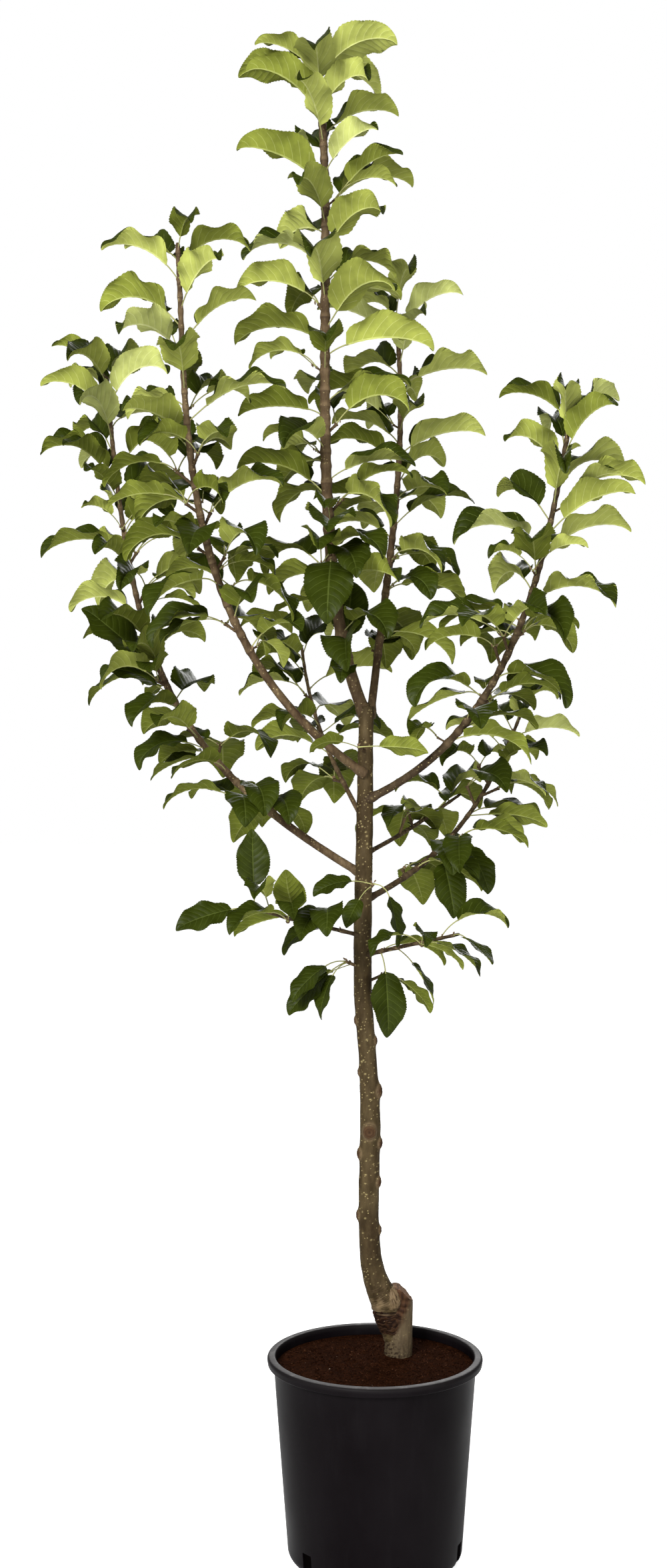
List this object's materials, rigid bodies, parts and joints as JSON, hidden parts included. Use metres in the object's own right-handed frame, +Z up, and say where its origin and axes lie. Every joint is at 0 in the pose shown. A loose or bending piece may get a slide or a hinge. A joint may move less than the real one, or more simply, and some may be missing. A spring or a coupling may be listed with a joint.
{
  "type": "potted topaz apple tree",
  "caption": "Young grafted apple tree in a round black nursery pot: bent trunk with pruning knobs, upright leader, side boughs and folded leaves.",
  "frame": {"origin": "middle of the pot's flat underside, on the surface it stands on", "axes": "+Z up the tree, -Y towards the viewer of the picture, +X to the viewer's right"},
  "size_m": [0.8354, 0.5195, 2.1225],
  "materials": {
    "black_plastic": "satin",
    "damp_peat": "rough",
    "bark": "rough",
    "leaf_green": "satin"
  },
  "bodies": {
    "root": {"pot": "black_plastic", "soil": "damp_peat", "trunk": "bark", "bough_leader": "bark", "bough_second_leader": "bark", "bough_left_inner": "bark", "bough_left_outer": "bark", "bough_right": "bark", "bough_right_low": "bark", "bough_right_mid": "bark", "bough_left_mid": "bark", "leaves_leader": "leaf_green", "leaves_second_leader": "leaf_green", "leaves_left_inner": "leaf_green", "leaves_left_outer": "leaf_green", "leaves_right": "leaf_green", "leaves_right_low": "leaf_green", "leaves_right_mid": "leaf_green", "leaves_low_right": "leaf_green", "leaves_low_left": "leaf_green", "leaves_left_mid": "leaf_green", "leaves_spur_left": "leaf_green", "leaves_spur_right": "leaf_green", "leaves_spur_high": "leaf_green", "leaves_spur_fork": "leaf_green"}
  },
  "joints": []
}
